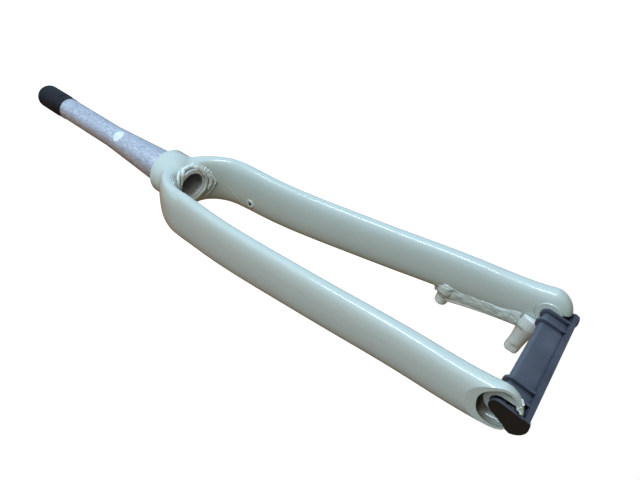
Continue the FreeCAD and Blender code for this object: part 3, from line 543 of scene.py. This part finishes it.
# Foot of the right blade: weld spatter stuck to the lip, and a run of wavy paint above the
# opening. Both were sprayed over with the rest of the blade.
SPATTER = [(57.8, 55.0, -429.0, 0.7), (58.9, 52.8, -430.9, 0.9), (59.5, 50.2, -430.2, 0.6),
           (59.7, 48.1, -429.6, 0.8), (60.2, 46.8, -432.5, 1.0), (60.0, 45.2, -433.4, 0.7)]
RUN_X, RUN_Z, RUN_HALF_WIDTH, RUN_HALF_HEIGHT = 59.2, -405.5, 3.6, 6.5
RUN_STEPS, RUN_ACROSS = 48, 24
RUN_SUNK, RUN_DEPTH, WAVE_DEPTH = -0.1, 0.16, 0.4
BEFORE_BLADE_Y = 90
spatter = weld_bead("right_foot_spatter", ((SPATTER, False, 1.0),), seed=11)
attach(spatter, "root")
rows = []
for step in range(RUN_STEPS + 1):
    row = []
    for across in range(RUN_ACROSS + 1):
        down, side = step / RUN_STEPS * 2 - 1, across / RUN_ACROSS * 2 - 1
        x, z = RUN_X + RUN_HALF_WIDTH * side, RUN_Z - RUN_HALF_HEIGHT * down
        body = (max(0, 1 - down * down) * max(0, 1 - side * side)) ** 0.5
        wave = WAVE_DEPTH * noise.noise(Vector((x * 0.6, 0, z * 0.5)))
        row.append(((x, BEFORE_BLADE_Y, z), (0, -1, 0), RUN_SUNK + body * (RUN_DEPTH + wave)))
    rows.append(row)
paint_run = skin("right_foot_paint_run", rows, surface_of("right_leg"), paint)
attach(paint_run, "root")

# Transport spacer: injection moulded polypropylene, dark blue-grey, which keeps the dropouts
# apart until a wheel goes in. Handling has scuffed it. Its outer end face, its undersides and its
# crevices are painted near black as shade.
PLASTIC_DARK, PLASTIC_PALE = (0.052, 0.060, 0.088), (0.086, 0.096, 0.133)
SCUFF = (0.15, 0.16, 0.21)
SHADE_BLACK, CREVICE_SHADE = (0.005, 0.006, 0.008), (0.008, 0.009, 0.012)
OUTER_END_X = (0.044, 0.046)
CREVICE_WIDTH = 0.004
plastic, tree, shader = new_finish("spacer_plastic", Roughness=0.42, Specular_IOR_Level=0.6)
scuffs = grain(tree, 500, (1, 1, 0.3), detail=5, roughness=0.7)
tone = shades(tree, grain(tree, 45, detail=4), ((0.3, PLASTIC_DARK), (0.7, PLASTIC_PALE)))
tone = blended(tree, shades(tree, scuffs, ((0.58, 0.0), (0.72, 0.35))), tone, SCUFF)
# Painted shade: the outer end face, the undersides and the crevices are darkened to near black.
end_face = maths(tree, "MULTIPLY", coordinate(tree, "X", "Normal"),
                 fade(tree, coordinate(tree, "X"), *OUTER_END_X))
underside = maths(tree, "MULTIPLY", coordinate(tree, "Z", "Normal"), -1.0)
in_shade = fade(tree, maths(tree, "MAXIMUM", end_face, underside), 0.5, 0.85)
crevices = add_node(tree, "ShaderNodeAmbientOcclusion", {"samples": 8}, Distance=CREVICE_WIDTH)
shaded_crevices = fade(tree, crevices.outputs["AO"], 0.85, 0.4)
plug(tree, shader, Base_Color=blended(tree, shaded_crevices, blended(tree, in_shade, tone, SHADE_BLACK), CREVICE_SHADE))
raised(tree, shader, scuffs, distance=0.00005, strength=0.4)
dress("axle_spacer", plastic)

# Studio: a floor just under the fork and a backdrop, both white to the camera. The sky is blue
# from the front of the fork and brown from behind it, with a ceiling, a window and a soft room.
FLOOR_DROP, FLOOR_HALF = 0.004, 4.0
FLOOR_BROWN, WHITE = (0.30, 0.22, 0.12), (1.0, 1.0, 1.0)
SKY = ((0.0, (0.12, 0.05, 0.0)), (0.43, (0.24, 0.11, 0.01)), (0.54, (0.36, 0.49, 0.70)),
       (0.75, (0.57, 0.79, 1.0)))
SKY_STRENGTH = 1.15
floor_z = cad_low.z - FLOOR_DROP
floor_mesh = bpy.data.meshes.new("studio_floor")
floor_mesh.from_pydata([(x * FLOOR_HALF, y * FLOOR_HALF, floor_z)
                        for x, y in ((-1, -1), (1, -1), (1, 1), (-1, 1))], [], [(0, 1, 2, 3)])
floor = bpy.data.objects.new("studio_floor", floor_mesh)
bpy.context.collection.objects.link(floor)
floor_finish, tree, shader = new_finish("studio_floor", Base_Color=FLOOR_BROWN, Roughness=0.8)
rays = add_node(tree, "ShaderNodeLightPath").outputs
seen = maths(tree, "MAXIMUM", rays["Is Camera Ray"], rays["Is Transmission Ray"])
glow = add_node(tree, "ShaderNodeEmission", Strength=1.0)
mixed = add_node(tree, "ShaderNodeMixShader")
for socket, value in zip(mixed.inputs, (seen, shader.outputs[0], glow.outputs[0])):
    tree.links.new(value, socket)
plug(tree, tree.nodes["Material Output"], Surface=mixed.outputs[0])
floor_mesh.materials.append(floor_finish)

world = bpy.data.worlds.new("studio_sky")
bpy.context.scene.world = world
world.use_nodes = True
tree = world.node_tree
tree.nodes.clear()
sky = shades(tree, fade(tree, coordinate(tree, "Y", "Generated"), -1.0, 1.0), SKY)
rays = add_node(tree, "ShaderNodeLightPath").outputs
backdrop = add_node(tree, "ShaderNodeBackground", Strength=SKY_STRENGTH,
                    Color=blended(tree, rays["Is Camera Ray"], sky, WHITE))
add_node(tree, "ShaderNodeOutputWorld", Surface=backdrop.outputs[0])


def soft_box(name, aim, direction, distance, width, height, power, color):
    """An area lamp that looks at a point of the fork from a direction."""
    lamp = bpy.data.lights.new(name, "AREA")
    lamp.shape = "RECTANGLE"
    lamp.size, lamp.size_y = width, height
    lamp.energy = power
    lamp.color = color
    box = bpy.data.objects.new(name, lamp)
    back = Vector(direction).normalized()
    box.location = Vector(aim) + back * distance
    box.rotation_euler = back.to_track_quat("Z", "Y").to_euler()
    bpy.context.collection.objects.link(box)
    return box


soft_box("window", aim=(0, 0.03, -0.25), direction=(0.5, 0.8, 0.34), distance=1.6,
         width=0.25, height=0.9, power=9.0, color=(0.82, 0.95, 1.0))
soft_box("ceiling", aim=(0, 0.0, -0.2), direction=(0.15, 1.0, 0.1), distance=2.0,
         width=1.8, height=1.8, power=9.9, color=(0.41, 0.71, 1.0))
room = soft_box("room", aim=(0, 0.0, -0.25), direction=(0.52, 0.85, 0.0), distance=1.8,
                width=1.2, height=0.36, power=11.5, color=(0.84, 0.86, 0.80))
room.visible_glossy = False

# Camera: stands in front of the fork's foot on the rider's right, and looks up the fork towards
# the steerer. Its place and lens were solved from the outlines in the photograph.
camera_data = bpy.data.cameras.new("camera")
camera_data.sensor_width = 36.0
camera_data.lens = 26.63
camera = bpy.data.objects.new("camera", camera_data)
camera.matrix_world = Matrix((
    (-0.6157, -0.4422, 0.6522, 0.2884),
    (0.1167, 0.7673, 0.6305, 0.3081),
    (-0.7793, 0.4643, -0.4208, -0.4083),
    (0.0, 0.0, 0.0, 1.0)))
bpy.context.collection.objects.link(camera)
bpy.context.scene.camera = camera
bpy.context.scene.view_settings.view_transform = "Standard"
